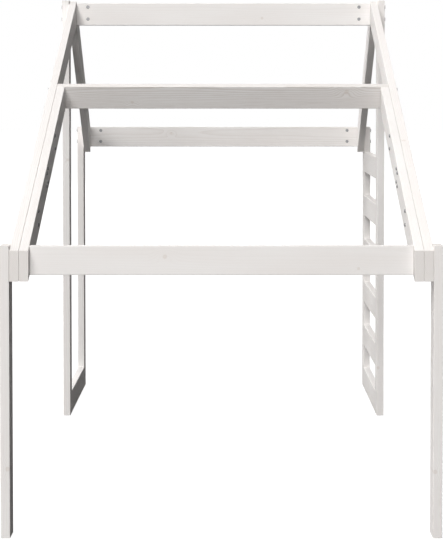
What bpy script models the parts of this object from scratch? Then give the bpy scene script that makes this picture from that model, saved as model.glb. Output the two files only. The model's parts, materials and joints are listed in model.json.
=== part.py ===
# Bunk-bed house frame with a ladder: whitewashed pine boards, bolted together.
# Units are metres, +Z is up, the low foot end faces -Y, the ladder is on the +X side.
import math

import bmesh
import bpy
from mathutils import Matrix, Vector

# ---- driving dimensions ---------------------------------------------------
GAP = 0.0003            # air left between parts that touch
T = 0.0215              # thickness of every planed board
EDGE_R = 0.0026         # broken edge of the boards
HALF_W = 0.500          # half the width over the posts
HALF_L = 1.040          # half the length over the posts
POST_D = 0.0585         # depth of a post along Y

FRONT_POST_H = 0.664
RIDGE_POST_H = 1.294
BACK_POST_H = 0.892
RIDGE_Y = 0.4835        # middle of the ridge posts and of the ridge beam

ROOF_DEG = 22.8         # pitch of the long front rafters
FOOT_TOP_Z = 0.6534     # top of the front rafters at the foot end
RAFTER_W = 0.0650       # width of the front rafter boards, square to the slope
SPLICE_Y = -0.628       # plumb joint between the two lengths of a front rafter
PURLIN_Y = -0.156       # top front edge of the purlin

REAR_DEG = 37.63        # pitch of the short rear rafters
REAR_TOP = (1.0, 0.8913)    # a point (y, z) on the line of their tops
REAR_W = 0.0680

FRONT_RAIL_Y = (-1.0215, -1.0000)
FRONT_RAIL_Z = (0.5960, 0.6625)
PURLIN_W = 0.0660
RIDGE_BEAM_Z = (1.2180, 1.2860)
BACK_BEAM_Y = (1.0000, 1.0000 + T)
BACK_BEAM_Z = (0.8245, 0.8915)
RUNG_W = 0.0680         # height of the ladder boards and of the bottom rails
RUNG_STEP = 0.1477      # from one ladder board to the next
RUNG_COUNT = 5          # boards above the bottom one

# ---- fixings ----------------------------------------------------------------
BOLT_R = 0.0030
HEAD_R = 0.0062
HEAD_H = 0.0034
HEX_R = 0.0023          # hexagon socket in a bolt's head
HEX_DEPTH = 0.0018
BOLT_PAST_NUT = 0.0065  # from the nut's middle to the bolt's tip
HOLE_PAST_BOLT = 0.0010
NUT_R = 0.0050
NUT_L = 0.0160
NUT_EDGE = 0.0006
NUT_SINK = 0.0004       # how far its head sits under the face of the beam
NUT_HOLE = 0.0185       # depth of the hole it drops into
NUT_SLOT = (0.0068, 0.0012, 0.0024)     # screwdriver slot; half its height is cut
NUT_X = 0.4215          # middle of the barrel nuts in the ridge and back beams
FRONT_NUT_X = 0.3990
SCREW_R = 0.0020
SCREW_HEAD_R = 0.0040
SCREW_POINT = 0.0060
DRIVE_R = 0.0016        # square recess of a wood screw
DRIVE_DEPTH = 0.0014
SINK_DEPTH = 0.0030     # of a countersink
SINK_PLAY = 0.0008      # how much wider it is than the screw's head
SCREW_L = 0.0380        # splice screws (their heads stand on the board) and rear rafter screws
TAIL_SCREW_L = 0.0700
PEG_R = 0.0040          # dowel pegs; they are hidden, so only their holes are here
PEG_L = 0.0300
PEG_DROP = 0.0170       # from a board's middle to each of its two pegs
THROUGH = 0.0040        # how far a drill runs past a board it goes through
ROUND = 10              # sides of bolts, nuts and their holes
PEG_SIDES = 8

FRONT_BOLT_Z = (0.6100, 0.6465)
RIDGE_BOLT_Z = (1.2373, 1.2745)
BACK_BOLT_Z = (0.8420, 0.8796)
PURLIN_BOLT_OUT = 0.0185    # from the purlin's middle, square to the roof
SPLICE_SCREW_Y = (-0.8325, -0.6400, -0.6160, -0.4330)
SPLICE_SCREW_DROP = (0.0120, 0.0450)
RIDGE_SCREW_Y = 0.5030
RIDGE_SCREW_Z = (1.2150, 1.2550)
TAIL_SCREW_Z = 0.8610
MITRE_PEG = 0.5         # place of the mitre's peg along the joint
SIDES = (("left", -1), ("right", 1))

# ---- layers across the width, counted from the outside ----------------------
POST_IN = HALF_W - T
RAFTER_OUT = POST_IN - GAP
RAFTER_IN = RAFTER_OUT - T
SPLICE_OUT = RAFTER_IN - GAP
SPLICE_IN = SPLICE_OUT - T
RAFTER_X = (RAFTER_IN + RAFTER_OUT) / 2
POST_X = HALF_W - T / 2

ROOF = math.radians(ROOF_DEG)
REAR = math.radians(REAR_DEG)
ROOF_PLUMB = RAFTER_W / math.cos(ROOF)
REAR_PLUMB = REAR_W / math.cos(REAR)

for old in list(bpy.data.objects):
    bpy.data.objects.remove(old, do_unlink=True)

PART = bpy.data.collections.new("bunk_bed_with_ladder")
CUTTERS = bpy.data.collections.new("cutters")
bpy.context.scene.collection.children.link(PART)
bpy.context.scene.collection.children.link(CUTTERS)


def make_material(name, colour, roughness, metallic=0.0):
    mat = bpy.data.materials.new(name)
    mat.use_nodes = True
    node = mat.node_tree.nodes["Principled BSDF"]
    node.inputs["Base Color"].default_value = (*colour, 1.0)
    node.inputs["Roughness"].default_value = roughness
    node.inputs["Metallic"].default_value = metallic
    return mat


PINE = make_material("white_pine", (0.80, 0.77, 0.73), 0.55)
ZINC = make_material("zinc_steel", (0.62, 0.63, 0.65), 0.35, 1.0)


def roof_top(y):
    return FOOT_TOP_Z + math.tan(ROOF) * (y + HALF_L)


def rear_top(y):
    return REAR_TOP[1] + math.tan(REAR) * (REAR_TOP[0] - y)


def meeting(front_drop, rear_drop):
    """Where a line under the front rafter's top meets one under the rear rafter's."""
    rise = rear_top(0.0) - rear_drop - roof_top(0.0) + front_drop
    y = rise / (math.tan(ROOF) + math.tan(REAR))
    return Vector((0.0, y, roof_top(y) - front_drop))


# ---- boards -----------------------------------------------------------------
def link(name, mesh, mat, place=(0.0, 0.0, 0.0)):
    obj = bpy.data.objects.new(name, mesh)
    PART.objects.link(obj)
    obj.location = place
    mesh.materials.append(mat)
    return obj


def break_edges(obj):
    mod = obj.modifiers.new("broken edges", "BEVEL")
    mod.width = EDGE_R
    mod.segments = 1
    mod.limit_method = "ANGLE"
    mod.angle_limit = math.radians(30)


def board(name, low, high, turn=0.0, centre=None):
    """A planed board between two corners; turn tilts it about X."""
    low, high = Vector(low), Vector(high)
    bm = bmesh.new()
    bmesh.ops.create_cube(bm, size=1.0)
    bmesh.ops.scale(bm, vec=high - low, verts=bm.verts)
    mesh = bpy.data.meshes.new(name)
    bm.to_mesh(mesh)
    bm.free()
    obj = link(name, mesh, PINE, centre if centre is not None else (low + high) / 2)
    obj.rotation_euler = (turn, 0.0, 0.0)
    break_edges(obj)
    return obj


def sawn_board(name, outline, x_low, x_high):
    """A board with slanting saw cuts: its side outline in (y, z), drawn out in X."""
    foot = Vector((0.0, *outline[0]))
    bm = bmesh.new()
    ring = [bm.verts.new((x_low, y - foot.y, z - foot.z)) for y, z in outline]
    face = bm.faces.new(ring)
    grown = bmesh.ops.extrude_face_region(bm, geom=[face])
    moved = [g for g in grown["geom"] if isinstance(g, bmesh.types.BMVert)]
    bmesh.ops.translate(bm, vec=(x_high - x_low, 0.0, 0.0), verts=moved)
    bmesh.ops.recalc_face_normals(bm, faces=bm.faces)
    mesh = bpy.data.meshes.new(name)
    bm.to_mesh(mesh)
    bm.free()
    obj = link(name, mesh, PINE, foot)
    break_edges(obj)
    return obj


# ---- drilling ---------------------------------------------------------------
def cut(obj, bm, label):
    mesh = bpy.data.meshes.new(f"{obj.name}_{label}")
    bm.to_mesh(mesh)
    bm.free()
    cutter = bpy.data.objects.new(mesh.name, mesh)
    CUTTERS.objects.link(cutter)
    cutter.hide_render = True
    cutter.display_type = "WIRE"
    mod = obj.modifiers.new(label, "BOOLEAN")
    mod.operation = "DIFFERENCE"
    mod.solver = "EXACT"
    mod.object = cutter


def facing(direction):
    return Vector(direction).to_track_quat("Z", "Y").to_matrix()


def add_cone(bm, start, direction, depth, wide, narrow, sides):
    """A cone or cylinder that runs from start along direction."""
    way = Vector(direction).normalized()
    place = Matrix.Translation(Vector(start) + way * depth / 2) @ facing(way).to_4x4()
    bmesh.ops.create_cone(bm, cap_ends=True, segments=sides, radius1=wide,
                          radius2=narrow, depth=depth, matrix=place)


def drill(obj, holes, sides=ROUND):
    """Round holes: each is (start on the face, direction, radius, depth)."""
    bm = bmesh.new()
    for start, direction, radius, depth in holes:
        way = Vector(direction).normalized()
        add_cone(bm, Vector(start) - way * THROUGH, way, depth + THROUGH, radius, radius, sides)
    cut(obj, bm, f"holes {len(obj.modifiers)}")


def countersink(obj, spots):
    """Conical seats for screw heads: each is (start on the face, direction)."""
    wide = SCREW_HEAD_R + SINK_PLAY
    narrow = SCREW_R + GAP
    lead = SINK_DEPTH / 3
    flare = (wide - narrow) / SINK_DEPTH * lead
    bm = bmesh.new()
    for start, direction in spots:
        way = Vector(direction).normalized()
        add_cone(bm, Vector(start) - way * lead, way, SINK_DEPTH + lead, wide + flare,
                 narrow, ROUND)
    cut(obj, bm, "countersinks")


# ---- turned steel parts -------------------------------------------------------
def turned(profile):
    """A turned solid: the profile in (radius, height) goes once round Z."""
    mesh = bpy.data.meshes.new("profile")
    mesh.from_pydata([(r, 0.0, z) for r, z in profile],
                     [(i, i + 1) for i in range(len(profile) - 1)], [])
    obj = bpy.data.objects.new("profile", mesh)
    PART.objects.link(obj)
    mod = obj.modifiers.new("turn", "SCREW")
    mod.axis = "Z"
    mod.angle = math.tau
    mod.steps = ROUND
    mod.render_steps = ROUND
    mod.use_merge_vertices = True
    mod.merge_threshold = 0.00001
    graph = bpy.context.evaluated_depsgraph_get()
    solid = bpy.data.meshes.new_from_object(obj.evaluated_get(graph))
    bpy.data.objects.remove(obj, do_unlink=True)
    bm = bmesh.new()
    bm.from_mesh(solid)
    bmesh.ops.remove_doubles(bm, verts=bm.verts, dist=0.00001)
    bmesh.ops.recalc_face_normals(bm, faces=bm.faces)
    bm.to_mesh(solid)
    bm.free()
    return solid


def carved(solid, bm, label):
    """Cuts the bmesh out of a turned solid and shades its round faces smooth."""
    body = bpy.data.objects.new(label, solid)
    tool_mesh = bpy.data.meshes.new(label)
    bm.to_mesh(tool_mesh)
    bm.free()
    tool = bpy.data.objects.new(label, tool_mesh)
    PART.objects.link(body)
    PART.objects.link(tool)
    mod = body.modifiers.new(label, "BOOLEAN")
    mod.operation = "DIFFERENCE"
    mod.solver = "EXACT"
    mod.object = tool
    graph = bpy.context.evaluated_depsgraph_get()
    done = bpy.data.meshes.new_from_object(body.evaluated_get(graph))
    bpy.data.objects.remove(body, do_unlink=True)
    bpy.data.objects.remove(tool, do_unlink=True)
    done.shade_smooth()
    done.set_sharp_from_angle(angle=math.radians(45))
    done.materials.clear()
    done.materials.append(ZINC)
    return done


def socket(radius, depth, sides, top):
    bm = bmesh.new()
    add_cone(bm, (0.0, 0.0, top - depth), (0.0, 0.0, 1.0), depth * 2, radius, radius, sides)
    return bm


def bolt(length):
    solid = turned([(0.0, -length), (BOLT_R, -length), (BOLT_R, 0.0), (HEAD_R, 0.0),
                    (HEAD_R, HEAD_H * 0.45), (HEAD_R * 0.66, HEAD_H), (0.0, HEAD_H)])
    return carved(solid, socket(HEX_R, HEX_DEPTH, 6, HEAD_H), "bolt")


def wood_screw(length):
    neck = SCREW_HEAD_R - SCREW_R
    solid = turned([(0.0, -length), (SCREW_R, SCREW_POINT - length), (SCREW_R, -neck),
                    (SCREW_HEAD_R, -GAP), (SCREW_HEAD_R, 0.0), (0.0, 0.0)])
    return carved(solid, socket(DRIVE_R, DRIVE_DEPTH, 4, 0.0), "wood screw")


def barrel_nut():
    """A cross dowel: Z out of its mouth, the bolt hole along X through the origin."""
    head = T / 2 - NUT_SINK
    foot = head - NUT_L
    solid = turned([(0.0, foot), (NUT_R, foot), (NUT_R, head - NUT_EDGE),
                    (NUT_R - NUT_EDGE, head), (0.0, head)])
    bm = bmesh.new()
    add_cone(bm, (-2 * NUT_R, 0.0, 0.0), (1.0, 0.0, 0.0), 4 * NUT_R, BOLT_R + GAP,
             BOLT_R + GAP, ROUND)
    slot = bmesh.ops.create_cube(bm, size=1.0)
    bmesh.ops.scale(bm, vec=NUT_SLOT, verts=slot["verts"])
    bmesh.ops.translate(bm, vec=(0.0, 0.0, head), verts=slot["verts"])
    return carved(solid, bm, "barrel nut")


def fastener(name, solid, start, turn):
    """One copy of a shared fastener mesh; turn brings its Z to the way it points."""
    obj = bpy.data.objects.new(name, solid)
    PART.objects.link(obj)
    obj.location = start
    obj.rotation_euler = turn.to_euler()


# ---- places worked out from the dimensions above ----------------------------
bolt_hole = BOLT_R + GAP
screw_hole = SCREW_R + GAP
nut_hole = NUT_R + GAP
peg_hole = PEG_R + GAP
half_peg = PEG_L / 2 + 2 * GAP
grip = SCREW_L - T + 3 * GAP    # depth of a screw's hole in its second board
deep = T + THROUGH              # depth of a hole right through a board

front_bolt_y = sum(FRONT_RAIL_Y) / 2
back_bolt_y = sum(BACK_BEAM_Y) / 2
bolt_reach = HALF_W - NUT_X     # from under a bolt's head to its nut
purlin_nut_x = RAFTER_OUT - bolt_reach
ridge_low = RIDGE_Y - POST_D / 2
ridge_high = RIDGE_Y + POST_D / 2
back_low = HALF_L - POST_D

along = Vector((0.0, math.cos(ROOF), math.sin(ROOF)))       # up the roof
above = Vector((0.0, -math.sin(ROOF), math.cos(ROOF)))      # square to the roof
purlin_edge = Vector((0.0, PURLIN_Y, roof_top(PURLIN_Y)))
purlin_mid = purlin_edge + along * (T / 2) - above * (PURLIN_W / 2)
purlin_bolts = [purlin_mid + above * out for out in (-PURLIN_BOLT_OUT, PURLIN_BOLT_OUT)]

apex = meeting(0.0, 0.0)
heel = meeting(ROOF_PLUMB, REAR_PLUMB)
mitre_mid = heel.lerp(apex, MITRE_PEG)
mitre_way = Vector((1.0, 0.0, 0.0)).cross(apex - heel).normalized()     # points to -Y
half_gap = Vector((0.0, GAP / 2, 0.0))

splice_screws = [(y, roof_top(y) - drop) for y in SPLICE_SCREW_Y for drop in SPLICE_SCREW_DROP]
rung_z = [RUNG_W / 2 + RUNG_STEP * k for k in range(RUNG_COUNT + 1)]


def side_holes(x, spots, way, radius, depth):
    """Holes along X through the same spots (y, z), all started from the plane x."""
    return [((x, y, z), way, radius, depth) for y, z in spots]


# ---- posts, rafters and splice boards, one of each per side ------------------
front_spots = [(front_bolt_y, z) for z in FRONT_BOLT_Z]
ridge_spots = [(RIDGE_Y, z) for z in RIDGE_BOLT_Z]
back_spots = [(back_bolt_y, z) for z in BACK_BOLT_Z]
purlin_spots = [(p.y, p.z) for p in purlin_bolts]
ridge_screws = [(RIDGE_SCREW_Y, z) for z in RIDGE_SCREW_Z]

for side, s in SIDES:
    inward = (-s, 0.0, 0.0)
    outward = (s, 0.0, 0.0)
    post_x = sorted((s * POST_IN, s * HALF_W))
    rafter_x = sorted((s * RAFTER_IN, s * RAFTER_OUT))
    splice_x = sorted((s * SPLICE_IN, s * SPLICE_OUT))
    pegs_z = [z + drop for z in (rung_z if side == "right" else rung_z[:1])
              for drop in (-PEG_DROP, PEG_DROP)]

    front = board(f"front_post_{side}", (post_x[0], -HALF_L, 0.0),
                  (post_x[1], POST_D - HALF_L, FRONT_POST_H))
    drill(front, side_holes(s * HALF_W, front_spots, inward, bolt_hole, deep))

    ridge = board(f"ridge_post_{side}", (post_x[0], ridge_low, 0.0),
                  (post_x[1], ridge_high, RIDGE_POST_H))
    drill(ridge, side_holes(s * HALF_W, ridge_spots, inward, bolt_hole, deep)
          + side_holes(s * HALF_W, ridge_screws, inward, screw_hole, deep))
    countersink(ridge, [((s * HALF_W, y, z), inward) for y, z in ridge_screws])
    drill(ridge, [((s * POST_X, ridge_high, z), (0, -1, 0), peg_hole, half_peg)
                  for z in pegs_z], PEG_SIDES)

    back = board(f"back_post_{side}", (post_x[0], back_low, 0.0),
                 (post_x[1], HALF_L, BACK_POST_H))
    drill(back, side_holes(s * HALF_W, back_spots, inward, bolt_hole, deep))
    drill(back, [((s * POST_X, back_low, z), (0, 1, 0), peg_hole, half_peg)
                 for z in pegs_z], PEG_SIDES)

    # the long front rafter comes in two lengths that meet at a plumb cut
    foot_end = SPLICE_Y - GAP / 2
    main_start = SPLICE_Y + GAP / 2
    lower = sawn_board(f"rafter_lower_{side}", [
        (-HALF_L, roof_top(-HALF_L) - ROOF_PLUMB), (foot_end, roof_top(foot_end) - ROOF_PLUMB),
        (foot_end, roof_top(foot_end)), (-HALF_L, roof_top(-HALF_L))], *rafter_x)
    drill(lower, side_holes(s * RAFTER_OUT, front_spots, inward, bolt_hole, deep)
          + side_holes(s * RAFTER_IN, [p for p in splice_screws if p[0] < SPLICE_Y],
                       outward, screw_hole, grip))

    # its upper end is mitred against the rear rafter and pegged there
    upper = sawn_board(f"rafter_upper_{side}", [
        (main_start, roof_top(main_start) - ROOF_PLUMB), (heel - half_gap).yz,
        (apex - half_gap).yz, (main_start, roof_top(main_start))], *rafter_x)
    drill(upper, side_holes(s * RAFTER_OUT, purlin_spots, inward, bolt_hole, deep)
          + side_holes(s * RAFTER_IN, [p for p in splice_screws if p[0] > SPLICE_Y],
                       outward, screw_hole, grip))
    mitre_hole = Vector((s * RAFTER_X, mitre_mid.y, mitre_mid.z))
    drill(upper, [(mitre_hole, mitre_way, peg_hole, half_peg)], PEG_SIDES)

    # the board inside it ties the two lengths together and stops square at the purlin
    stop = purlin_edge - along * GAP
    stop_low = stop - above * RAFTER_W
    tie = sawn_board(f"splice_board_{side}", [
        (-HALF_L, roof_top(-HALF_L) - ROOF_PLUMB), stop_low.yz, stop.yz,
        (-HALF_L, roof_top(-HALF_L))], *splice_x)
    drill(tie, side_holes(s * SPLICE_OUT, front_spots, inward, bolt_hole, deep)
          + side_holes(s * SPLICE_IN, splice_screws, outward, screw_hole, deep))

    # the short rear rafter ends plumb against the back beam
    tail_y = BACK_BEAM_Y[0] - GAP
    rear = sawn_board(f"rear_rafter_{side}", [
        (heel + half_gap).yz, (tail_y, rear_top(tail_y) - REAR_PLUMB),
        (tail_y, rear_top(tail_y)), (apex + half_gap).yz], *rafter_x)
    drill(rear, side_holes(s * RAFTER_OUT, ridge_spots, inward, bolt_hole, deep)
          + side_holes(s * RAFTER_OUT, ridge_screws, inward, screw_hole, grip)
          + [((s * RAFTER_X, tail_y, TAIL_SCREW_Z), (0, -1, 0), screw_hole,
              TAIL_SCREW_L - T + GAP)])
    drill(rear, [(mitre_hole, -mitre_way, peg_hole, half_peg)], PEG_SIDES)

# ---- beams across the bed ---------------------------------------------------
def drill_beam(obj, end_x, nut_x, reach, spots, mouth, way):
    """Bolt holes into both ends, and the holes that the barrel nuts drop into."""
    deep_end = end_x - nut_x + BOLT_PAST_NUT + HOLE_PAST_BOLT
    drill(obj, [((s * end_x, y, z), (-s, 0, 0), bolt_hole, deep_end)
                for _, s in SIDES for y, z in spots])
    drill(obj, [(Vector((s * nut_x, y, z)) + Vector(mouth) * reach, way, nut_hole, NUT_HOLE)
                for _, s in SIDES for y, z in spots])


rail_end = SPLICE_IN - GAP
beam_end = RAFTER_IN - GAP
back_end = POST_IN - GAP
half_t = T / 2

front_rail = board("front_rail", (-rail_end, FRONT_RAIL_Y[0], FRONT_RAIL_Z[0]),
                   (rail_end, FRONT_RAIL_Y[1], FRONT_RAIL_Z[1]))
drill_beam(front_rail, rail_end, FRONT_NUT_X, half_t, front_spots, (0, 1, 0), (0, -1, 0))

purlin = board("purlin", (-beam_end, -half_t, -PURLIN_W / 2),
               (beam_end, half_t, PURLIN_W / 2), turn=ROOF, centre=purlin_mid)
drill_beam(purlin, beam_end, purlin_nut_x, half_t, purlin_spots, along, -along)

ridge_beam = board("ridge_beam", (-beam_end, RIDGE_Y - half_t, RIDGE_BEAM_Z[0]),
                   (beam_end, RIDGE_Y + half_t, RIDGE_BEAM_Z[1]))
drill_beam(ridge_beam, beam_end, NUT_X, half_t, ridge_spots, (0, -1, 0), (0, 1, 0))

back_beam = board("back_beam", (-back_end, BACK_BEAM_Y[0], BACK_BEAM_Z[0]),
                  (back_end, BACK_BEAM_Y[1], BACK_BEAM_Z[1]))
drill_beam(back_beam, back_end, NUT_X, half_t, back_spots, (0, -1, 0), (0, 1, 0))
tails = [(s * RAFTER_X, BACK_BEAM_Y[1], TAIL_SCREW_Z) for _, s in SIDES]
drill(back_beam, [(tail, (0, -1, 0), screw_hole, deep) for tail in tails])
countersink(back_beam, [(tail, (0, -1, 0)) for tail in tails])

# ---- boards between the rear posts: one on the left, a ladder on the right ---
run = (ridge_high + GAP, back_low - GAP)
rungs = [("bottom_rail_left", -1, 0), ("ladder_bottom_board", 1, 0)]
rungs += [(f"ladder_rung_{k}", 1, k) for k in range(1, RUNG_COUNT + 1)]
for name, s, k in rungs:
    rung_x = sorted((s * POST_IN, s * HALF_W))
    low = RUNG_STEP * k
    rung = board(name, (rung_x[0], run[0], low), (rung_x[1], run[1], low + RUNG_W))
    drill(rung, [((s * POST_X, y, rung_z[k] + drop), (0, way, 0), peg_hole, half_peg)
                 for y, way in ((run[0], 1), (run[1], -1)) for drop in (-PEG_DROP, PEG_DROP)],
          PEG_SIDES)

# ---- fasteners: a bolt and a barrel nut for every bolted hole ----------------
short_bolt = bolt(bolt_reach + BOLT_PAST_NUT)
long_bolt = bolt(HALF_W - FRONT_NUT_X + BOLT_PAST_NUT)
nut = barrel_nut()
toward_head = Vector((0.0, 1.0, 0.0))
joints = (
    # name, bolt, face under the head, nut's X, spots, way out of the nut's mouth
    ("front", long_bolt, HALF_W, FRONT_NUT_X, front_spots, toward_head),
    ("purlin", short_bolt, RAFTER_OUT, purlin_nut_x, purlin_spots, along),
    ("ridge", short_bolt, HALF_W, NUT_X, ridge_spots, -toward_head),
    ("back", short_bolt, HALF_W, NUT_X, back_spots, -toward_head),
)
bolt_way = Vector((1.0, 0.0, 0.0))
for joint, shank, face_x, nut_x, spots, mouth in joints:
    # a nut's bolt hole stays along X while its Z points out of the beam
    nut_turn = Matrix((bolt_way, mouth.cross(bolt_way), mouth)).transposed()
    for side, s in SIDES:
        for level, (y, z) in zip(("lower", "upper"), spots):
            fastener(f"{joint}_bolt_{side}_{level}", shank,
                     (s * (face_x + GAP), y, z), facing((s, 0, 0)))
            fastener(f"{joint}_barrel_nut_{side}_{level}", nut, (s * nut_x, y, z), nut_turn)

tail_screw = wood_screw(TAIL_SCREW_L)
for side, s in SIDES:
    fastener(f"tail_screw_{side}", tail_screw,
             (s * RAFTER_X, BACK_BEAM_Y[1] - GAP, TAIL_SCREW_Z), facing(toward_head))
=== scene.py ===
# %% [markdown]
# # A house-shaped bed frame of white-glazed pine
# The real object is a bed frame that a joiner builds from planed pine boards: six posts, sloping rafters,
# four boards across the bed, one at floor level, and a ladder of short boards between two posts. Nothing
# moves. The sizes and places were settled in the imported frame, so this lesson opens that frame first and
# reads them from it.
# Then it saws fresh boards with rounded arrises on exactly the same lines, turns the steel fittings, mixes
# the finishes, and lights the frame the way a furniture maker would for a catalogue.

# %% Open the frame
import json
import math
import random

import bmesh
import bpy
import numpy as np
from mathutils import Matrix, Vector

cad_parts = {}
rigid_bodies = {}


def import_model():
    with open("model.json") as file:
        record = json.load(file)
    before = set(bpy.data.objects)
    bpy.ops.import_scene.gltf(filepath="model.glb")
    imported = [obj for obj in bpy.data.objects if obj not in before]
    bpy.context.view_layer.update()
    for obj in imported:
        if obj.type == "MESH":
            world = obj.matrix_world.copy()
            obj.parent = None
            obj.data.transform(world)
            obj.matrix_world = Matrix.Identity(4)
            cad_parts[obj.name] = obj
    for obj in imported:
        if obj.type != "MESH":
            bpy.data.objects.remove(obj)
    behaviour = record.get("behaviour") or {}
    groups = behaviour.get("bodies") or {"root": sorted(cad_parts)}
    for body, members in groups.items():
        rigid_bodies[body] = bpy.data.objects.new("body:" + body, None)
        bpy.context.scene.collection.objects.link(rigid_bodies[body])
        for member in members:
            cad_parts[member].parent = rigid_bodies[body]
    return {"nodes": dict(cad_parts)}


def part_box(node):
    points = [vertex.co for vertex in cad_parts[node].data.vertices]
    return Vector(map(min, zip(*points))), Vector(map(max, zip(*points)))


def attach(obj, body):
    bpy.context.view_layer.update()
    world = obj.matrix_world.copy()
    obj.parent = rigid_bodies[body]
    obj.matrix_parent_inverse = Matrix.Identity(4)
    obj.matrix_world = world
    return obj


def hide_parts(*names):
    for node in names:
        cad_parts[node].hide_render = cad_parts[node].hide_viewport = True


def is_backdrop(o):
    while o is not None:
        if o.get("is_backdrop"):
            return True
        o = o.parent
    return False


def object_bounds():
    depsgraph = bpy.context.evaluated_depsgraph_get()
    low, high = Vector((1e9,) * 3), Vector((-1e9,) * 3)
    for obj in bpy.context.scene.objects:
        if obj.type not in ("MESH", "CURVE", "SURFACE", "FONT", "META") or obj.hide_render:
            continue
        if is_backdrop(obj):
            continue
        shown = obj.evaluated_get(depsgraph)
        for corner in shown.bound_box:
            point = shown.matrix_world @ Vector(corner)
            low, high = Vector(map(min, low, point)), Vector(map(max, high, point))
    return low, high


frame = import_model()

cad_low, cad_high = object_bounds()
nodes = frame["nodes"]
X_AXIS = Vector((1.0, 0.0, 0.0))
SIDES = (("left", -1), ("right", 1))
print(f"frame: {len(nodes)} nodes, {(cad_high - cad_low).x:.3f} x {(cad_high - cad_low).y:.3f} m")

# %% [markdown]
# ## Camera
# The eye is nearly four metres in front of the low foot end and one metre above the floor, and looks straight
# along the bed. Most of the bed is below that, so the camera would have to be tilted down, and then the posts
# would lean. A view camera shifts its lens instead, and this one does mostly that. A tilt of two degrees is
# kept, so that the shift stays smaller and views from other sides keep the roof in the frame.

# %% Camera
EYE_BACK = 3.890            # from the foot end
EYE_X = 0.016
EYE_HEIGHT = 1.0084
EYE_TILT = 2.11             # degrees below the horizon
LENS = 115.55
LENS_SHIFT = (-0.0131, -0.2100)

eye = bpy.data.objects.new("camera", bpy.data.cameras.new("camera"))
bpy.context.scene.collection.objects.link(eye)
eye.location = (EYE_X, cad_low.y - EYE_BACK, cad_low.z + EYE_HEIGHT)
eye.rotation_euler = (math.radians(90.0 - EYE_TILT), 0.0, 0.0)
eye.data.lens = LENS
eye.data.sensor_width = 36.0
eye.data.shift_x, eye.data.shift_y = LENS_SHIFT
eye.data.clip_end = 200.0
bpy.context.scene.camera = eye
print(f"camera {EYE_BACK:.2f} m in front of the foot end")

# %% [markdown]
# ## Reading the boards back from the frame
# Every board of this bed is a four-sided outline in the Y-Z plane drawn out along X, the sloping ones too.
# The frame's meshes have their arrises cut off, so a corner can't be read from a vertex. The big flat faces
# are still there, though: four of them look along Y and Z, and where two neighbouring ones meet is the
# corner that the saw would leave. Measured like this, one function serves posts, rafters and rungs alike.

# %% Find the sawn outline of a board
def flat_faces(node):
    """The four largest faces that run along X, as (angle, normal, distance), in order round the board."""
    mesh = nodes[node].data
    found = {}
    for face in mesh.polygons:
        if abs(face.normal.x) > 0.02:
            continue
        reach = face.normal.dot(face.center)
        key = (round(face.normal.y, 2), round(face.normal.z, 2), round(reach, 3))
        entry = found.setdefault(key, [0.0, Vector((0.0, 0.0, 0.0)), 0.0])
        entry[0] += face.area
        entry[1] += face.normal * face.area
        entry[2] += reach * face.area
    # hole walls and cut arrises have their own directions or distances, and are all small
    largest = sorted(found.values(), key=lambda entry: -entry[0])[:4]
    planes = [((total[1] / total[0]).normalized(), total[2] / total[0]) for total in largest]
    return sorted(planes, key=lambda plane: math.atan2(plane[0].z, plane[0].y))


def sawn_outline(node):
    """Corners (y, z) of the board, anticlockwise seen from +X, and its low and high X."""
    planes = flat_faces(node)
    corners = []
    for k, (normal, reach) in enumerate(planes):
        after, after_reach = planes[(k + 1) % len(planes)]
        grid = np.array([[normal.y, normal.z], [after.y, after.z]])
        corners.append(Vector((0.0, *np.linalg.solve(grid, [reach, after_reach]))))
    low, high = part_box(node)
    return corners, low.x, high.x


outline, x_low, x_high = sawn_outline("rafter_upper_left")
print("upper rafter:", [f"({c.y:.4f}, {c.z:.4f})" for c in outline], f"{1000 * (x_high - x_low):.1f} mm")

# %% [markdown]
# ## Which way the grain runs
# A plank is cut out of a trunk, so its pattern is not a picture laid on each face: the same growth rings run
# along the wide face as long lines and come out as arcs on the end. That works by itself when each point of a
# board knows where it was inside the trunk. The longest side of a board is its grain. The pith, the middle of
# the trunk, lies a few centimetres behind or before the wide face, and off to one side: that spreads the
# lines on one part of the face and crowds them on the other. Its place is chosen anew for every board from a
# fixed seed.

# %% The board's own directions
def board_axes(corners, x_low, x_high):
    """Centre of a board, and (direction, half size) along, across and through it."""
    centre = sum(corners, Vector()) / len(corners)
    centre.x = (x_low + x_high) / 2
    sides = [corners[(k + 1) % 4] - corners[k] for k in range(4)]
    longest = max(sides, key=lambda side: side.length).normalized()
    upright = longest.cross(X_AXIS)
    spans = []
    for way in (longest, upright):
        reach = [(c - centre).dot(way) for c in corners]
        spans.append((way, (max(reach) - min(reach)) / 2))
    spans.append((X_AXIS, (x_high - x_low) / 2))
    return centre, sorted(spans, key=lambda span: -span[1])


PITH_NEAR = 0.034
PITH_FAR = 0.075
PITH_LEAN = (0.30, 0.80)    # how far it lies off the middle of the wide face, in radians


def pith_of(name):
    """Where this board lay in its trunk: an offset along it, and the pith's place across and through."""
    dice = random.Random(name)
    turn = dice.choice((-math.pi / 2, math.pi / 2)) + dice.choice((-1, 1)) * dice.uniform(*PITH_LEAN)
    away = dice.uniform(PITH_NEAR, PITH_FAR)
    return Vector((dice.uniform(2.0, 40.0), away * math.cos(turn), away * math.sin(turn)))


axes = board_axes(outline, x_low, x_high)[1]
print("upper rafter runs", [f"{v:.2f}" for v in axes[0][0]], f"{2 * axes[0][1]:.3f} m long")
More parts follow.
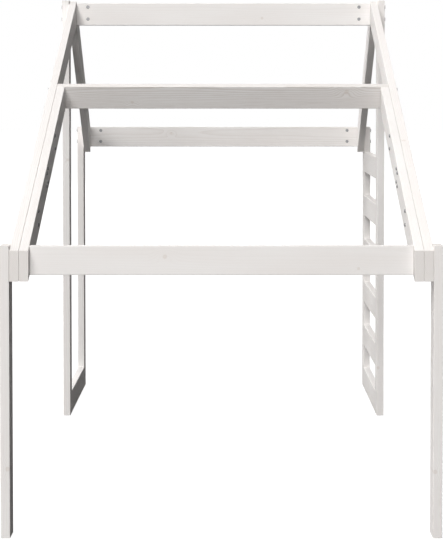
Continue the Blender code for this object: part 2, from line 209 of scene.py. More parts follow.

# %% [markdown]
# ## Knots
# A knot is a branch that was sawn through. On the wide face it is a small round eye that the grain flows
# round. The list below places sixteen of them one by one on nine boards, each by a point on its board, its
# radius, and whether it comes out on the wide face or on the narrow edge. The other boards get one or two
# from a seed.

# %% Knots of the boards
PLACED_KNOTS = {
    "front_post_left": [((0.0, -1.04, 0.158), 0.0065, "edge"), ((0.0, -1.02, 0.470), 0.0050, "face")],
    "front_post_right": [((0.0, -1.04, 0.152), 0.0060, "edge"), ((0.0, -1.00, 0.400), 0.0060, "face")],
    "ridge_post_left": [((0.0, 0.45, 0.800), 0.0055, "edge"), ((0.0, 0.48, 0.300), 0.0070, "face")],
    "ridge_post_right": [((0.0, 0.45, 0.150), 0.0055, "edge"), ((0.0, 0.49, 0.950), 0.0060, "face")],
    "front_rail": [((-0.128, 0.0, 0.638), 0.0060, "face"), ((0.310, 0.0, 0.611), 0.0040, "face")],
    "purlin": [((0.341, -0.14, 1.015), 0.0075, "face"), ((-0.250, -0.13, 0.985), 0.0050, "face")],
    "rafter_upper_right": [((0.465, -0.486, 0.885), 0.0060, "edge"),
                           ((0.0, 0.120, 1.110), 0.0070, "face")],
    "ridge_beam": [((0.120, 0.0, 1.240), 0.0050, "face")],
    "back_beam": [((-0.180, 0.0, 0.870), 0.0045, "face")],
}


def knots_of(name, centre, spans):
    """Knots as (place along the board, place on the face, radius, which face)."""
    (along, half_long), (across, half_wide), (through, _) = spans
    found = []
    for point, radius, face in PLACED_KNOTS.get(name, []):
        away = Vector(point) - centre
        other = across if face == "face" else through
        limit = half_wide * 0.6 if face == "face" else 0.006
        found.append((away.dot(along), max(-limit, min(limit, away.dot(other))), radius, face))
    if not found:
        dice = random.Random(name + " knots")
        for _ in range(1 + (half_long > 0.4)):
            found.append((dice.uniform(-0.8, 0.8) * half_long, dice.uniform(-0.6, 0.6) * half_wide,
                          dice.uniform(0.0035, 0.0075), "face"))
    return sorted(found)


print("knots placed by hand:", sum(len(k) for k in PLACED_KNOTS.values()))

# %% [markdown]
# ## Sawing, rounding and drilling a board
# The saw gives the outline, the drawing out in X gives the third size, and a router runs along the four long
# arrises with a small round-over bit. The planks are cut to length after that, so their ends only get a touch
# of sandpaper. A bevel of four segments along the grain is the router, and a smaller one round each end is
# the paper. The drill comes afterwards, as in the workshop, with a Boolean: it leaves crisp rims. Weighted
# normals then keep the flat faces flat, so that light runs off only at the rounded arrises.

# %% Saw and round over
ROUND_OVER = 0.0015     # radius along the grain
ROUND_STEPS = 4
END_ROUND = 0.0008      # radius round the cut ends
END_STEPS = 2


def round_over(bm, chosen, radius, steps):
    bmesh.ops.bevel(bm, geom=chosen, offset=radius, segments=steps, profile=0.5, affect="EDGES",
                    clamp_overlap=True)


def saw_board(corners, x_low, x_high):
    bm = bmesh.new()
    ring = [bm.verts.new((x_low, c.y, c.z)) for c in corners]
    face = bm.faces.new(ring)
    grown = bmesh.ops.extrude_face_region(bm, geom=[face])
    moved = [g for g in grown["geom"] if isinstance(g, bmesh.types.BMVert)]
    bmesh.ops.translate(bm, vec=(x_high - x_low, 0.0, 0.0), verts=moved)
    bmesh.ops.recalc_face_normals(bm, faces=bm.faces)
    along = board_axes(corners, x_low, x_high)[1][0][0]
    long_edges = [edge for edge in bm.edges
                  if abs((edge.verts[1].co - edge.verts[0].co).normalized().dot(along)) > 0.95]
    round_over(bm, long_edges, ROUND_OVER, ROUND_STEPS)
    ends = sorted(bm.faces, key=lambda f: -abs(f.normal.dot(along)))[:2]
    round_over(bm, list({edge for face in ends for edge in face.edges}), END_ROUND, END_STEPS)
    return bm


trial = saw_board(outline, x_low, x_high)
print("a rounded board has", len(trial.faces), "faces")
trial.free()

# %% [markdown]
# ## Where the fittings go
# The bolts, barrel nuts and tail screws are in the frame, so their places are read from it: the middle of
# a bolt's box gives the hole's line, and a nut's box gives the middle of the nut. The splice screws, the
# ridge screws and the beech dowels are not in the frame, which only has their holes. They are set out here
# from the boards they join, in the measures that a joiner would pencil on the wood.

# %% Set out the fittings
BOLT_HOLE = 0.0033
NUT_HOLE = 0.0053
NUT_HOLE_DEPTH = 0.0185
SCREW_HOLE = 0.0023
SINK_WIDE = 0.0048
SINK_DEEP = 0.0030
PEG_HOLE = 0.0043
PEG_DEEP = 0.0156
SCREW_LONG = 0.0380
TAIL_SCREW_LONG = 0.0700
BOARD_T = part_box("front_rail")[1].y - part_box("front_rail")[0].y


def middle(node):
    low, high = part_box(node)
    return (low + high) / 2


roof_slope = board_axes(*sawn_outline("rafter_upper_left"))[1][0][0]
roof_slope = roof_slope if roof_slope.y > 0 else -roof_slope
HEAD_WARDS = Vector((0.0, 1.0, 0.0))
MOUTHS = {"front": HEAD_WARDS, "purlin": roof_slope, "ridge": -HEAD_WARDS, "back": -HEAD_WARDS}
HOSTS = {"front": "front_rail", "purlin": "purlin", "ridge": "ridge_beam", "back": "back_beam"}
bolts, nuts, tail_screws = [], [], []
for joint, mouth in MOUTHS.items():
    for side, s in SIDES:
        for level in ("lower", "upper"):
            bolts.append((f"{joint}_bolt_{side}_{level}", Vector((s, 0.0, 0.0)), joint))
            nuts.append((f"{joint}_barrel_nut_{side}_{level}", mouth, joint))
for side, s in SIDES:
    tail_screws.append((f"tail_screw_{side}", HEAD_WARDS, "back"))
print(len(bolts), "bolts,", len(nuts), "barrel nuts,", len(tail_screws), "tail screws")

# %% The small screws and the dowels
SPLICE_SCREW_OUT = (-0.2045, -0.0120, 0.0120, 0.1950)   # along Y from the joint in the rafter
SPLICE_SCREW_DROP = (0.0120, 0.0450)                    # below the rafter's top
RIDGE_SCREW_DROP = (0.0790, 0.0390)                     # below the ridge post's top
RIDGE_SCREW_IN = 0.00975                                # from the ridge post's rear face
PEG_OUT = 0.0170                                        # above and below a board's middle
LADDER = ["ladder_bottom_board"] + [f"ladder_rung_{k}" for k in range(1, 6)]


def rafter_top(side, y):
    corners, _, _ = sawn_outline(f"rafter_upper_{side}")
    top = sorted(corners, key=lambda c: -c.z)[0]
    return top.z + (y - top.y) * roof_slope.z / roof_slope.y


splice_screws, ridge_screws, pegs = [], [], []
for side, s in SIDES:
    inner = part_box(f"splice_board_{side}")[0 if s > 0 else 1].x
    joint_y = (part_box(f"rafter_lower_{side}")[1].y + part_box(f"rafter_upper_{side}")[0].y) / 2
    for out in SPLICE_SCREW_OUT:
        for drop in SPLICE_SCREW_DROP:
            place = Vector((inner, joint_y + out, rafter_top(side, joint_y + out) - drop))
            splice_screws.append((place, Vector((-s, 0.0, 0.0))))
    post_low, post_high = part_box(f"ridge_post_{side}")
    for drop in RIDGE_SCREW_DROP:
        place = Vector((s * max(abs(post_low.x), abs(post_high.x)),
                        post_high.y - RIDGE_SCREW_IN, post_high.z - drop))
        ridge_screws.append((place, Vector((s, 0.0, 0.0))))
    for board in (LADDER if side == "right" else ["bottom_rail_left"]):
        low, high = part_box(board)
        mid = middle(board)
        for y in (low.y, high.y):
            for out in (-PEG_OUT, PEG_OUT):
                pegs.append((Vector((mid.x, y, mid.z + out)), HEAD_WARDS))
    # the mitre at the ridge: the two corners it runs between, and the way square to it
    corners, _, _ = sawn_outline(f"rear_rafter_{side}")
    tip, heel = sorted(corners, key=lambda c: c.y)[1::-1]
    square = X_AXIS.cross(tip - heel).normalized()
    pegs.append((Vector((middle(f"rear_rafter_{side}").x, *((tip + heel) / 2).yz)), square))
print(len(splice_screws), "splice screws,", len(ridge_screws), "ridge screws,", len(pegs), "dowels")

# %% [markdown]
# ## The drill
# A drill bit is a cylinder, and a countersink bit is a cone. All the bits that touch one board are put into
# one cutting mesh, and a bit counts only where its box meets the board's box. The bits of a nut and of its
# bolt cross, so the Boolean is told that the cutter may overlap itself.

# %% Drill bits
BIT_SIDES = 24
BREAK_THROUGH = 0.0040
PAST_TIP = 0.0006       # a hole goes this much deeper than what stands in it
SINK_LEAD = 0.001       # a countersink bit starts this far off the wood


def bit(start, way, radius, depth, tip=None, lead=BREAK_THROUGH):
    """(foot, direction, radius at the start, radius at the end, length) of one bit."""
    way = way.normalized()
    return start - way * lead, way, radius, radius if tip is None else tip, depth + lead


bits = []
for node, way, _ in bolts:
    low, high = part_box(node)
    head = Vector((high.x if way.x > 0 else low.x, *middle(node).yz))
    bits.append(bit(head, -way, BOLT_HOLE, high.x - low.x + PAST_TIP))
for node, mouth, joint in nuts:
    start = middle(node)
    host = middle(HOSTS[joint])
    start = start + mouth * ((host - start).dot(mouth) + BOARD_T / 2)
    bits.append(bit(start, -mouth, NUT_HOLE, NUT_HOLE_DEPTH))
for place, way in splice_screws:
    bits.append(bit(place, -way, SCREW_HOLE, SCREW_LONG + PAST_TIP))
flare = (SINK_WIDE - SCREW_HOLE) / SINK_DEEP
screws = [(place, way, SCREW_LONG) for place, way in ridge_screws]
for node, way, _ in tail_screws:
    low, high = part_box(node)
    screws.append((Vector((middle(node).x, high.y, middle(node).z)), way, TAIL_SCREW_LONG))
for place, way, long in screws:
    bits.append(bit(place, -way, SCREW_HOLE, long + PAST_TIP))
    bits.append(bit(place, -way, SINK_WIDE + flare * SINK_LEAD, SINK_DEEP, SCREW_HOLE, SINK_LEAD))
for place, way in pegs:
    bits.append(bit(place - way * PEG_DEEP, way, PEG_HOLE, 2 * PEG_DEEP, lead=0.0))
print(len(bits), "bits")


def drill_mesh(low, high):
    """One mesh of all the bits whose boxes meet the box from low to high, or None."""
    bm = bmesh.new()
    for foot, way, wide, narrow, long in bits:
        ends = (foot, foot + way * long)
        fat = Vector([wide * math.sqrt(max(0.0, 1.0 - c * c)) for c in way])
        small = Vector([min(e[k] for e in ends) - fat[k] for k in range(3)])
        large = Vector([max(e[k] for e in ends) + fat[k] for k in range(3)])
        if any(small[k] > high[k] - 1e-5 or large[k] < low[k] + 1e-5 for k in range(3)):
            continue
        turn = way.to_track_quat("Z", "Y").to_matrix().to_4x4()
        bmesh.ops.create_cone(bm, cap_ends=True, segments=BIT_SIDES, radius1=wide,
                              radius2=narrow, depth=long,
                              matrix=Matrix.Translation(foot + way * long / 2) @ turn)
    if not bm.verts:
        bm.free()
        return None
    mesh = bpy.data.meshes.new("bits")
    bm.to_mesh(mesh)
    bm.free()
    return mesh


# %% Finish one board
def evaluated(obj):
    """The object's mesh with its modifiers applied; the object itself is removed."""
    graph = bpy.context.evaluated_depsgraph_get()
    mesh = bpy.data.meshes.new_from_object(obj.evaluated_get(graph))
    bpy.data.objects.remove(obj, do_unlink=True)
    return mesh


def put_in_scene(name, mesh):
    obj = bpy.data.objects.new(name, mesh)
    bpy.context.scene.collection.objects.link(obj)
    return obj


def drilled(name, bm, low, high):
    """Cuts the bits out of a sawn board and returns its mesh."""
    mesh = bpy.data.meshes.new(name)
    bm.to_mesh(mesh)
    bm.free()
    body = put_in_scene(name, mesh)
    cutting = drill_mesh(low, high)
    if cutting is None:
        return evaluated(body)
    cutter = put_in_scene(name + " bits", cutting)
    cut = body.modifiers.new("drill", "BOOLEAN")
    cut.operation = "DIFFERENCE"
    cut.solver = "EXACT"
    cut.use_self = True
    cut.object = cutter
    done = evaluated(body)
    bpy.data.objects.remove(cutter, do_unlink=True)
    return done


def section_cuts(mesh, centre, along, stations):
    """Cuts the mesh across at each station along it, so that neighbouring faces can hold other values."""
    bm = bmesh.new()
    bm.from_mesh(mesh)
    for station in stations:
        bmesh.ops.bisect_plane(bm, geom=list(bm.verts) + list(bm.edges) + list(bm.faces),
                               plane_co=centre + along * station, plane_no=along, dist=1e-6)
    bmesh.ops.remove_doubles(bm, verts=bm.verts, dist=1e-6)
    bm.to_mesh(mesh)
    bm.free()


# %% [markdown]
# ## What each point of a board remembers
# Five named attributes go with the mesh, and the finish reads them by name:
# - log: where the point was in the trunk, in metres, with x along the pith;
# - knot: how far it is from the nearest knot, in knot radii, and that knot's radius;
# - arris: 1 on the rounded corners, 0 on the flats, because hands and sandpaper wear the corners first;
# - end_grain: 1 on the sawn ends, which drink more of the glaze;
# - figure_and_shade: how strongly the grain shows; raised on the purlin as painted shade for grazing light.

# %% Write the attributes
SPIRAL = 0.012          # how much the grain leans across the board, per metre
# grain strength per board; the purlin's 4.8 is partly painted shade, rings drawn darker for light grazing
# them
FIGURE_AND_SHADE = {"front_rail": 0.5, "ridge_beam": 0.8, "purlin": 4.8, "back_beam": 2.2}
FIGURE_ELSE = 1.8       # on every other board; boards of one bed never match


def remember(mesh, name, centre, spans, planes, knots):
    (along, half_long), (across, _), (through, _) = spans
    pith = pith_of(name)
    points = np.empty(len(mesh.vertices) * 3)
    mesh.vertices.foreach_get("co", points)
    away = points.reshape(-1, 3) - np.array(centre)
    local = away @ np.array([along, across, through]).T
    log = local + np.array(pith)
    log[:, 1] += SPIRAL * local[:, 0]
    mesh.attributes.new("log", "FLOAT_VECTOR", "POINT").data.foreach_set("vector", log.ravel())

    depth = np.stack([reach - points.reshape(-1, 3) @ np.array(normal) for normal, reach in planes])
    depth = np.clip(depth, 0.0, None)
    near = np.argsort(depth, axis=0)[:2]
    is_end = np.array([abs(normal.dot(along)) > 0.3 for normal, _ in planes])
    radius = np.where(is_end[near].any(axis=0), END_ROUND, ROUND_OVER)
    first, second = np.take_along_axis(depth, near, axis=0)
    rounded = 1.0 - (second - first) / radius
    arris = mesh.attributes.new("arris", "FLOAT", "POINT")
    arris.data.foreach_set("value", np.clip(rounded, 0.0, 1.0))

    ends = np.zeros(len(mesh.polygons))
    beside = np.zeros((len(mesh.loops), 3))
    for face in mesh.polygons:
        ends[face.index] = float(abs(face.normal.dot(along)) > 0.75)
        station = (face.center - centre).dot(along)
        u, v, radius, on = min(knots, key=lambda k: abs(k[0] - station))
        for loop in face.loop_indices:
            x, wide, thick = local[mesh.loops[loop].vertex_index]
            other = wide if on == "face" else thick
            beside[loop] = ((x - u) / radius, (other - v) / radius, radius)
    mesh.attributes.new("end_grain", "FLOAT", "FACE").data.foreach_set("value", ends)
    # the board's grain strength, which on the purlin also carries painted shade
    strength = np.full(len(mesh.polygons), FIGURE_AND_SHADE.get(name, FIGURE_ELSE))
    mesh.attributes.new("figure_and_shade", "FLOAT", "FACE").data.foreach_set("value", strength)
    mesh.attributes.new("knot", "FLOAT_VECTOR", "CORNER").data.foreach_set("vector", beside.ravel())


def finish_board(name, material):
    """A sawn, rounded, drilled board that stands for the frame's node of the same name."""
    corners, x0, x1 = sawn_outline(name)
    centre, spans = board_axes(corners, x0, x1)
    low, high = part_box(name)
    mesh = drilled(name + " sawn", saw_board(corners, x0, x1), low, high)
    knots = knots_of(name, centre, spans)
    stations = [(a[0] + b[0]) / 2 for a, b in zip(knots, knots[1:])]
    section_cuts(mesh, centre, spans[0][0], stations)
    planes = flat_faces(name) + [(X_AXIS, x1), (-X_AXIS, -x0)]
    remember(mesh, name, centre, spans, planes, knots)
    mesh.materials.clear()
    mesh.materials.append(material)
    mesh.shade_smooth()
    mesh.set_sharp_from_angle(angle=math.radians(35.0))
    rough = put_in_scene(name + " smooth", mesh)
    flats = rough.modifiers.new("flat faces stay flat", "WEIGHTED_NORMAL")
    flats.keep_sharp = True
    flats.weight = 100
    return evaluated(rough)


# %% [markdown]
# ## The finish
# White-glazed pine is a thin white stain wiped over planed softwood. It hides the yellow of the wood, but the
# growth rings, the fine fibres, the knots and the ends still show through as faint greys and browns. Three
# effects are kept as node groups. Two of them serve two materials each: the growth of the wood, and the fine
# scratches and dust of handling. The third, the wearing of arrises, is only for the glaze. Each group gives
# out masks and values only.

# %% A bench for setting out nodes
class Bench:
    """Sets out nodes in one tree, and joins each to the values or sockets that it is given."""

    def __init__(self, tree):
        self.tree = tree
        self.count = 0

    def node(self, kind, **settings):
        made = self.tree.nodes.new(kind)
        made.location = (220 * (self.count % 12), -260 * (self.count // 12))
        self.count += 1
        for key, value in settings.items():
            setattr(made, key, value)
        return made

    def feed(self, socket, value):
        if isinstance(value, bpy.types.NodeSocket):
            self.tree.links.new(value, socket)
        else:
            socket.default_value = value

    def math(self, operation, *values, clamp=False):
        made = self.node("ShaderNodeMath", operation=operation, use_clamp=clamp)
        for socket, value in zip(made.inputs, values):
            self.feed(socket, value)
        return made.outputs[0]

    def vector(self, operation, *values):
        made = self.node("ShaderNodeVectorMath", operation=operation)
        for socket, value in zip(made.inputs, values):
            self.feed(socket, value)
        return made.outputs["Value" if operation in ("LENGTH", "DOT_PRODUCT") else "Vector"]

    def noise(self, vector, scale, detail=2.0, roughness=0.5):
        made = self.node("ShaderNodeTexNoise")
        for name, value in (("Vector", vector), ("Scale", scale), ("Detail", detail),
                            ("Roughness", roughness)):
            self.feed(made.inputs[name], value)
        return made.outputs[0]

    def smooth(self, value, low, high, start=0.0, end=1.0):
        made = self.node("ShaderNodeMapRange", interpolation_type="SMOOTHSTEP")
        for socket, given in zip(made.inputs, (value, low, high, start, end)):
            self.feed(socket, given)
        return made.outputs[0]

    def mix(self, share, first, second):
        made = self.node("ShaderNodeMix", data_type="RGBA")
        for socket, value in zip((made.inputs[0], made.inputs[6], made.inputs[7]),
                                 (share, first, second)):
            self.feed(socket, value)
        return made.outputs[2]

    def split(self, vector):
        made = self.node("ShaderNodeSeparateXYZ")
        self.feed(made.inputs[0], vector)
        return made.outputs

    def join(self, *values):
        made = self.node("ShaderNodeCombineXYZ")
        for socket, value in zip(made.inputs, values):
            self.feed(socket, value)
        return made.outputs[0]

    def group(self, tree, **values):
        made = self.node("ShaderNodeGroup", node_tree=tree)
        for name, value in values.items():
            self.feed(made.inputs[name.replace("_", " ")], value)
        return made.outputs

    def named(self, name, kind="Vector"):
        return self.node("ShaderNodeAttribute", attribute_name=name).outputs[kind]


def shader_group(name, inputs, outputs):
    """A new node group; gives its bench, its inputs by name, and a function that feeds an output."""
    tree = bpy.data.node_groups.new(name, "ShaderNodeTree")
    for label, kind in inputs:
        tree.interface.new_socket(label, in_out="INPUT", socket_type=f"NodeSocket{kind}")
    for label, kind in outputs:
        tree.interface.new_socket(label, in_out="OUTPUT", socket_type=f"NodeSocket{kind}")
    bench = Bench(tree)
    entry = bench.node("NodeGroupInput")
    leave = bench.node("NodeGroupOutput")

    def give(label, socket):
        tree.links.new(socket, leave.inputs[label])

    return bench, entry.outputs, give


print("bench ready")

# %% [markdown]
# ## How pine grows
# A pine adds one ring a year: a wide pale band in spring, then a narrow dark one that ends sharply. Distance
# from the pith counts the rings, so the group only needs the place in the trunk. The trunk is never straight,
# so a slow noise lets the pith wander. Round a knot the rings bulge outwards, which draws the eye-shaped
# flow lines. Fibres are a noise drawn out more than fifty times along the grain.

# %% Growth of the wood
def growth_group():
    bench, given, give = shader_group(
        "pine growth", [("Log", "Vector"), ("Knot", "Vector"), ("Ring Width", "Float")],
        [("Late Wood", "Float"), ("Fibre", "Float"), ("Knot Core", "Float"), ("Tone", "Float")])
    log = given["Log"]
    x, y, z = bench.split(log)
    slow = bench.noise(bench.vector("MULTIPLY", log, (1.3, 7.0, 7.0)), 1.0, 2.0)
    shiver = bench.noise(bench.vector("MULTIPLY", log, (9.0, 60.0, 60.0)), 1.0, 2.0)
    u, v, knot_radius = bench.split(given["Knot"])
    near = bench.vector("LENGTH", bench.join(bench.math("MULTIPLY", u, 0.55), v, 0.0))
    bulge = bench.math("EXPONENT", bench.math("MULTIPLY", bench.math("POWER", near, 2.0), -0.22))
    bulge = bench.math("MULTIPLY", bulge, bench.math("MULTIPLY", knot_radius, 1.5))
    out = bench.vector("LENGTH", bench.join(0.0, y, z))
    out = bench.math("ADD", out, bench.math("MULTIPLY", slow, 0.022))
    out = bench.math("ADD", out, bench.math("MULTIPLY", shiver, 0.0012))
    out = bench.math("ADD", out, bulge)
    year = bench.math("FRACT", bench.math("DIVIDE", out, given["Ring Width"]))
    rise = bench.math("POWER", year, 3.5)
    late = bench.math("MULTIPLY", rise, bench.smooth(year, 0.93, 1.0, 1.0, 0.0))
    ragged = bench.noise(bench.vector("MULTIPLY", log, (300.0, 300.0, 300.0)), 1.0, 1.0)
    round_knot = bench.vector("LENGTH", bench.join(u, v, 0.0))
    round_knot = bench.math("ADD", round_knot, bench.math("MULTIPLY", ragged, 0.35))
    core = bench.smooth(round_knot, 0.80, 1.25, 1.0, 0.0)
    knot_rings = bench.math("SINE", bench.math("MULTIPLY", round_knot, 17.0))
    knot_rings = bench.math("MULTIPLY_ADD", knot_rings, 0.25, 0.75)
    give("Late Wood", late)
    give("Fibre", bench.noise(bench.vector("MULTIPLY", log, (16.0, 900.0, 900.0)), 1.0, 3.0, 0.6))
    give("Knot Core", bench.math("MULTIPLY", core, knot_rings))
    give("Tone", bench.noise(bench.vector("MULTIPLY", log, (2.5, 18.0, 18.0)), 1.0, 3.0))
    return bench.tree


def wear_group():
    """Where hands and cloths have rubbed: the arrises, in patches."""
    bench, given, give = shader_group(
        "worn arrises", [("Arris", "Float"), ("Place", "Vector"), ("Amount", "Float")],
        [("Worn", "Float")])
    patches = bench.noise(bench.vector("MULTIPLY", given["Place"], (14.0, 14.0, 14.0)), 1.0, 4.0, 0.65)
    patches = bench.smooth(patches, 0.42, 0.62)
    worn = bench.math("MULTIPLY", bench.smooth(given["Arris"], 0.35, 0.95), patches)
    give("Worn", bench.math("MULTIPLY", worn, given["Amount"], clamp=True))
    return bench.tree


def handling_group():
    """Fine scratches, and the soft dirt of handling."""
    bench, given, give = shader_group(
        "handling", [("Place", "Vector"), ("Scratch Scale", "Float")],
        [("Scratches", "Float"), ("Dust", "Float")])
    wide = bench.vector("SCALE", given["Place"])
    wide.node.inputs["Scale"].default_value = 6.0
    dust = bench.noise(wide, 1.0, 4.0, 0.6)
    stretched = bench.node("ShaderNodeTexVoronoi", feature="DISTANCE_TO_EDGE")
    bench.feed(stretched.inputs["Vector"], bench.vector("MULTIPLY", given["Place"], (1.0, 1.0, 0.12)))
    bench.feed(stretched.inputs["Scale"], given["Scratch Scale"])
    give("Scratches", bench.smooth(stretched.outputs["Distance"], 0.0, 0.035, 1.0, 0.0))
    give("Dust", bench.smooth(dust, 0.40, 0.70))
    return bench.tree


GROWTH = growth_group()
WEAR = wear_group()
HANDLING = handling_group()
print("shader groups:", [group.name for group in (GROWTH, WEAR, HANDLING)])

# %% [markdown]
# ## Three materials
# The white glaze takes the three groups together. Late wood stays a little darker and warmer, knots shine
# through as soft brown, sawn ends are greyer and rougher, and worn arrises show more wood. The bump is less
# than a fifth of a millimetre. Steel fittings are zinc plated: a cool grey whose gloss changes in clouds.
# Dowels are raw beech with short dark flecks, and they use the same growth group with a finer ring.

# %% White-glazed pine
def new_material(name):
    material = bpy.data.materials.new(name)
    material.use_nodes = True
    bench = Bench(material.node_tree)
    surface = material.node_tree.nodes["Principled BSDF"]
    return material, bench, surface


def bump(bench, surface, height, distance, strength=1.0):
    made = bench.node("ShaderNodeBump")
    made.inputs["Distance"].default_value = distance
    made.inputs["Strength"].default_value = strength
    bench.feed(made.inputs["Height"], height)
    bench.feed(surface.inputs["Normal"], made.outputs[0])


EARLY_WOOD = (0.822, 0.796, 0.782, 1.0)
LATE_WOOD = (0.580, 0.530, 0.490, 1.0)
KNOT_BROWN = (0.500, 0.400, 0.320, 1.0)
END_GREY = (0.640, 0.590, 0.545, 1.0)
BARE_PINE = (0.740, 0.665, 0.570, 1.0)
CLOUD_WHITE = (0.848, 0.834, 0.826, 1.0)
PINE_RING = 0.0032
# how much of each shows through the glaze, before the board's figure and painted shade where that counts
LATE_SHOW = 0.17
STREAK_SHOW = 0.085
KNOT_SHOW = 0.30
END_SHOW = 0.22
DUST_SHOW = 0.05
PINE_WEAR = 0.25
GLAZE_ROUGH = 0.52
# past this the figure darkens colour only: the purlin's stronger grain is painted shade, not relief
FIGURE_BUMP_MOST = 2.5  # a strong figure is seen more than it is felt
PINE_BUMP = 0.00016


def white_glazed_pine():
    material, bench, surface = new_material("white_glazed_pine")
    log = bench.named("log")
    late, fibre, knot, tone = bench.group(GROWTH, Log=log, Knot=bench.named("knot"),
                                          Ring_Width=PINE_RING)
    worn, = bench.group(WEAR, Arris=bench.named("arris", "Fac"), Place=log, Amount=PINE_WEAR)
    scratches, dust = bench.group(HANDLING, Place=log, Scratch_Scale=60.0)
    end = bench.named("end_grain", "Fac")
    figure_and_shade = bench.named("figure_and_shade", "Fac")

    colour = bench.mix(bench.smooth(tone, 0.25, 0.75), EARLY_WOOD, CLOUD_WHITE)
    # rings and streaks darken with the figure; on the purlin that is partly painted shade
    rings = bench.math("MULTIPLY", late, bench.math("MULTIPLY", figure_and_shade, LATE_SHOW))
    colour = bench.mix(rings, colour, LATE_WOOD)
    streaks = bench.smooth(fibre, 0.48, 0.72)
    streaks = bench.math("MULTIPLY", streaks, bench.math("MULTIPLY", figure_and_shade, STREAK_SHOW))
    colour = bench.mix(streaks, colour, LATE_WOOD)
    colour = bench.mix(bench.math("MULTIPLY", knot, KNOT_SHOW), colour, KNOT_BROWN)
    colour = bench.mix(bench.math("MULTIPLY", end, END_SHOW), colour, END_GREY)
    colour = bench.mix(worn, colour, BARE_PINE)
    colour = bench.mix(bench.math("MULTIPLY", dust, DUST_SHOW), colour, END_GREY)
    bench.feed(surface.inputs["Base Color"], colour)

    rough = bench.math("MULTIPLY_ADD", late, -0.10, GLAZE_ROUGH)
    rough = bench.math("MULTIPLY_ADD", fibre, 0.12, rough)
    rough = bench.math("MULTIPLY_ADD", end, 0.20, rough)
    bench.feed(surface.inputs["Roughness"], bench.math("MULTIPLY_ADD", scratches, 0.08, rough))
    height = bench.math("MULTIPLY_ADD", late, 0.55, bench.math("MULTIPLY", fibre, 0.45))
    height = bench.math("MULTIPLY", height, bench.math("MINIMUM", figure_and_shade, FIGURE_BUMP_MOST))
    height = bench.math("MULTIPLY_ADD", knot, 0.35, height)
    height = bench.math("MULTIPLY_ADD", scratches, -0.10, height)
    bump(bench, surface, height, PINE_BUMP, 0.8)
    surface.inputs["Specular IOR Level"].default_value = 0.42
    return material


# %% Zinc-plated steel and raw beech
ZINC_LIGHT = (0.450, 0.456, 0.466, 1.0)
ZINC_DARK = (0.250, 0.255, 0.264, 1.0)
BEECH_LIGHT = (0.700, 0.520, 0.350, 1.0)
BEECH_DARK = (0.480, 0.300, 0.170, 1.0)
BEECH_RING = 0.0016
FAR_KNOT = (60.0, 60.0, 0.005)      # so far off that it leaves no trace
ZINC_ROUGH = 0.42
ZINC_BUMP = 0.00003
BEECH_BUMP = 0.0001


def zinc_plated_steel():
    material, bench, surface = new_material("zinc_plated_steel")
    place = bench.node("ShaderNodeTexCoord").outputs["Object"]
    scratches, dust = bench.group(HANDLING, Place=place, Scratch_Scale=900.0)
    clouds = bench.noise(bench.vector("MULTIPLY", place, (380.0, 380.0, 380.0)), 1.0, 4.0, 0.6)
    colour = bench.mix(bench.smooth(clouds, 0.30, 0.70), ZINC_DARK, ZINC_LIGHT)
    colour = bench.mix(bench.math("MULTIPLY", dust, 0.15), colour, ZINC_DARK)
    bench.feed(surface.inputs["Base Color"], colour)
    rough = bench.math("MULTIPLY_ADD", clouds, 0.25, ZINC_ROUGH)
    bench.feed(surface.inputs["Roughness"], bench.math("MULTIPLY_ADD", scratches, 0.15, rough))
    surface.inputs["Metallic"].default_value = 1.0
    bump(bench, surface, bench.math("MULTIPLY_ADD", scratches, -0.4, clouds), ZINC_BUMP, 0.7)
    return material


def raw_beech():
    material, bench, surface = new_material("raw_beech")
    place = bench.node("ShaderNodeTexCoord").outputs["Object"]
    along_x = bench.vector("MULTIPLY", place, (0.5, 1.0, 1.0))
    late, fibre, _, _ = bench.group(GROWTH, Log=along_x, Knot=FAR_KNOT, Ring_Width=BEECH_RING)
    flecks = bench.noise(bench.vector("MULTIPLY", place, (1500.0, 260.0, 1500.0)), 1.0, 2.0)
    colour = bench.mix(bench.math("MULTIPLY", late, 0.6), BEECH_LIGHT, BEECH_DARK)
    colour = bench.mix(bench.math("MULTIPLY", bench.smooth(flecks, 0.56, 0.66), 0.5), colour, BEECH_DARK)
    bench.feed(surface.inputs["Base Color"], colour)
    bench.feed(surface.inputs["Roughness"], bench.math("MULTIPLY_ADD", fibre, 0.15, 0.58))
    bump(bench, surface, bench.math("ADD", fibre, flecks), BEECH_BUMP, 0.6)
    return material


PINE = white_glazed_pine()
ZINC = zinc_plated_steel()
BEECH = raw_beech()
print("materials:", [material.name for material in (PINE, ZINC, BEECH)])

# %% [markdown]
# ## The boards
# Now the boards can be made, each in place of the frame's plain one. The ladder boards are left for the next
# step, because they are six times the same board.

# %% Make the boards
PLAIN_BOARDS = ["front_rail", "purlin", "ridge_beam", "back_beam", "bottom_rail_left"]
PLAIN_BOARDS += [f"{part}_{side}" for side, _ in SIDES
                 for part in ("front_post", "ridge_post", "back_post", "rafter_lower",
                              "rafter_upper", "splice_board", "rear_rafter")]
faces = 0
for name in PLAIN_BOARDS:
    mesh = finish_board(name, PINE)
    board = put_in_scene("pine_" + name, mesh)
    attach(board, "root")
    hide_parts(name)
    faces += len(mesh.polygons)
print(len(PLAIN_BOARDS), "boards,", faces, "faces")

# %% [markdown]
# ## The ladder
# The ladder follows a rule: the same board again and again, one step higher each time. That is work for
# Geometry Nodes. A line of points with the step between them carries copies of one finished board. Each copy
# is told a shift inside the trunk before the copies are made real, so that no two show the same rings or the
# same knot, although they share one mesh.

